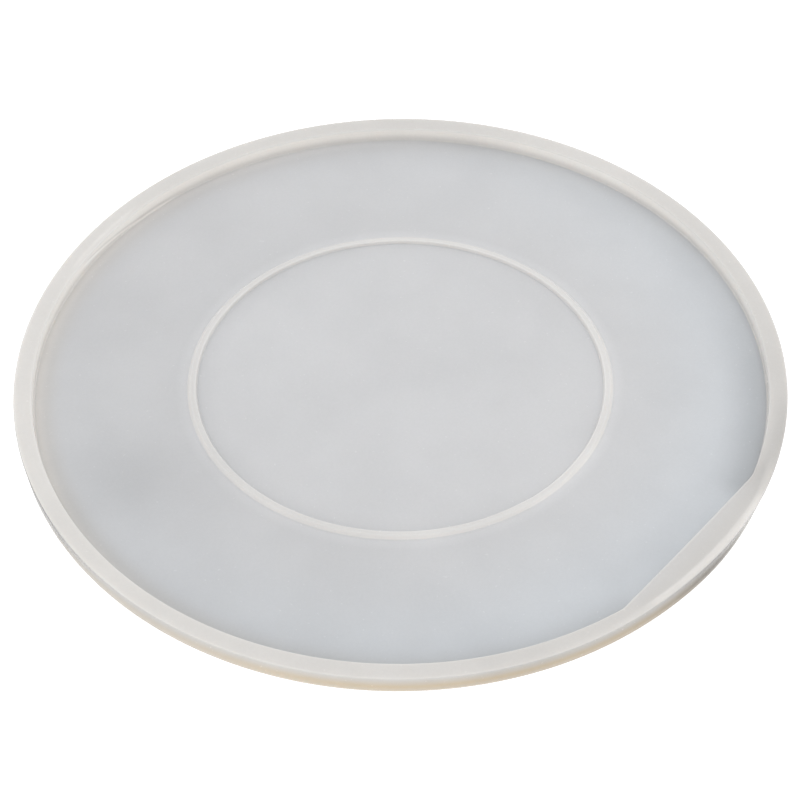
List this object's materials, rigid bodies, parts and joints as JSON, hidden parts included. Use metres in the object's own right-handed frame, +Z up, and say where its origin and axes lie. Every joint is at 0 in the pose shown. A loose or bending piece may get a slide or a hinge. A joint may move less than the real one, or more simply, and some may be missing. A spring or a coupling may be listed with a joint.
{
  "type": "round casting mould",
  "caption": "Shallow round silicone casting mould with a flat-topped wall around a flat floor and one thin raised ring on the floor.",
  "frame": {"origin": "centre of the flat underside", "axes": "+Z up, along the mould's axis, out of the open cavity; the mould is round, so +X and +Y are free"},
  "size_m": [0.3154, 0.3154, 0.0094],
  "materials": {
    "thin_silicone": "smooth milky translucent silicone, thin, satin to glossy",
    "wall_silicone": "smooth milky translucent silicone, thick, satin",
    "ring_silicone": "smooth milky translucent silicone, satin"
  },
  "bodies": {
    "root": {"floor_sheet": "thin_silicone", "outer_wall": "wall_silicone", "floor_ring": "ring_silicone"}
  },
  "joints": []
}
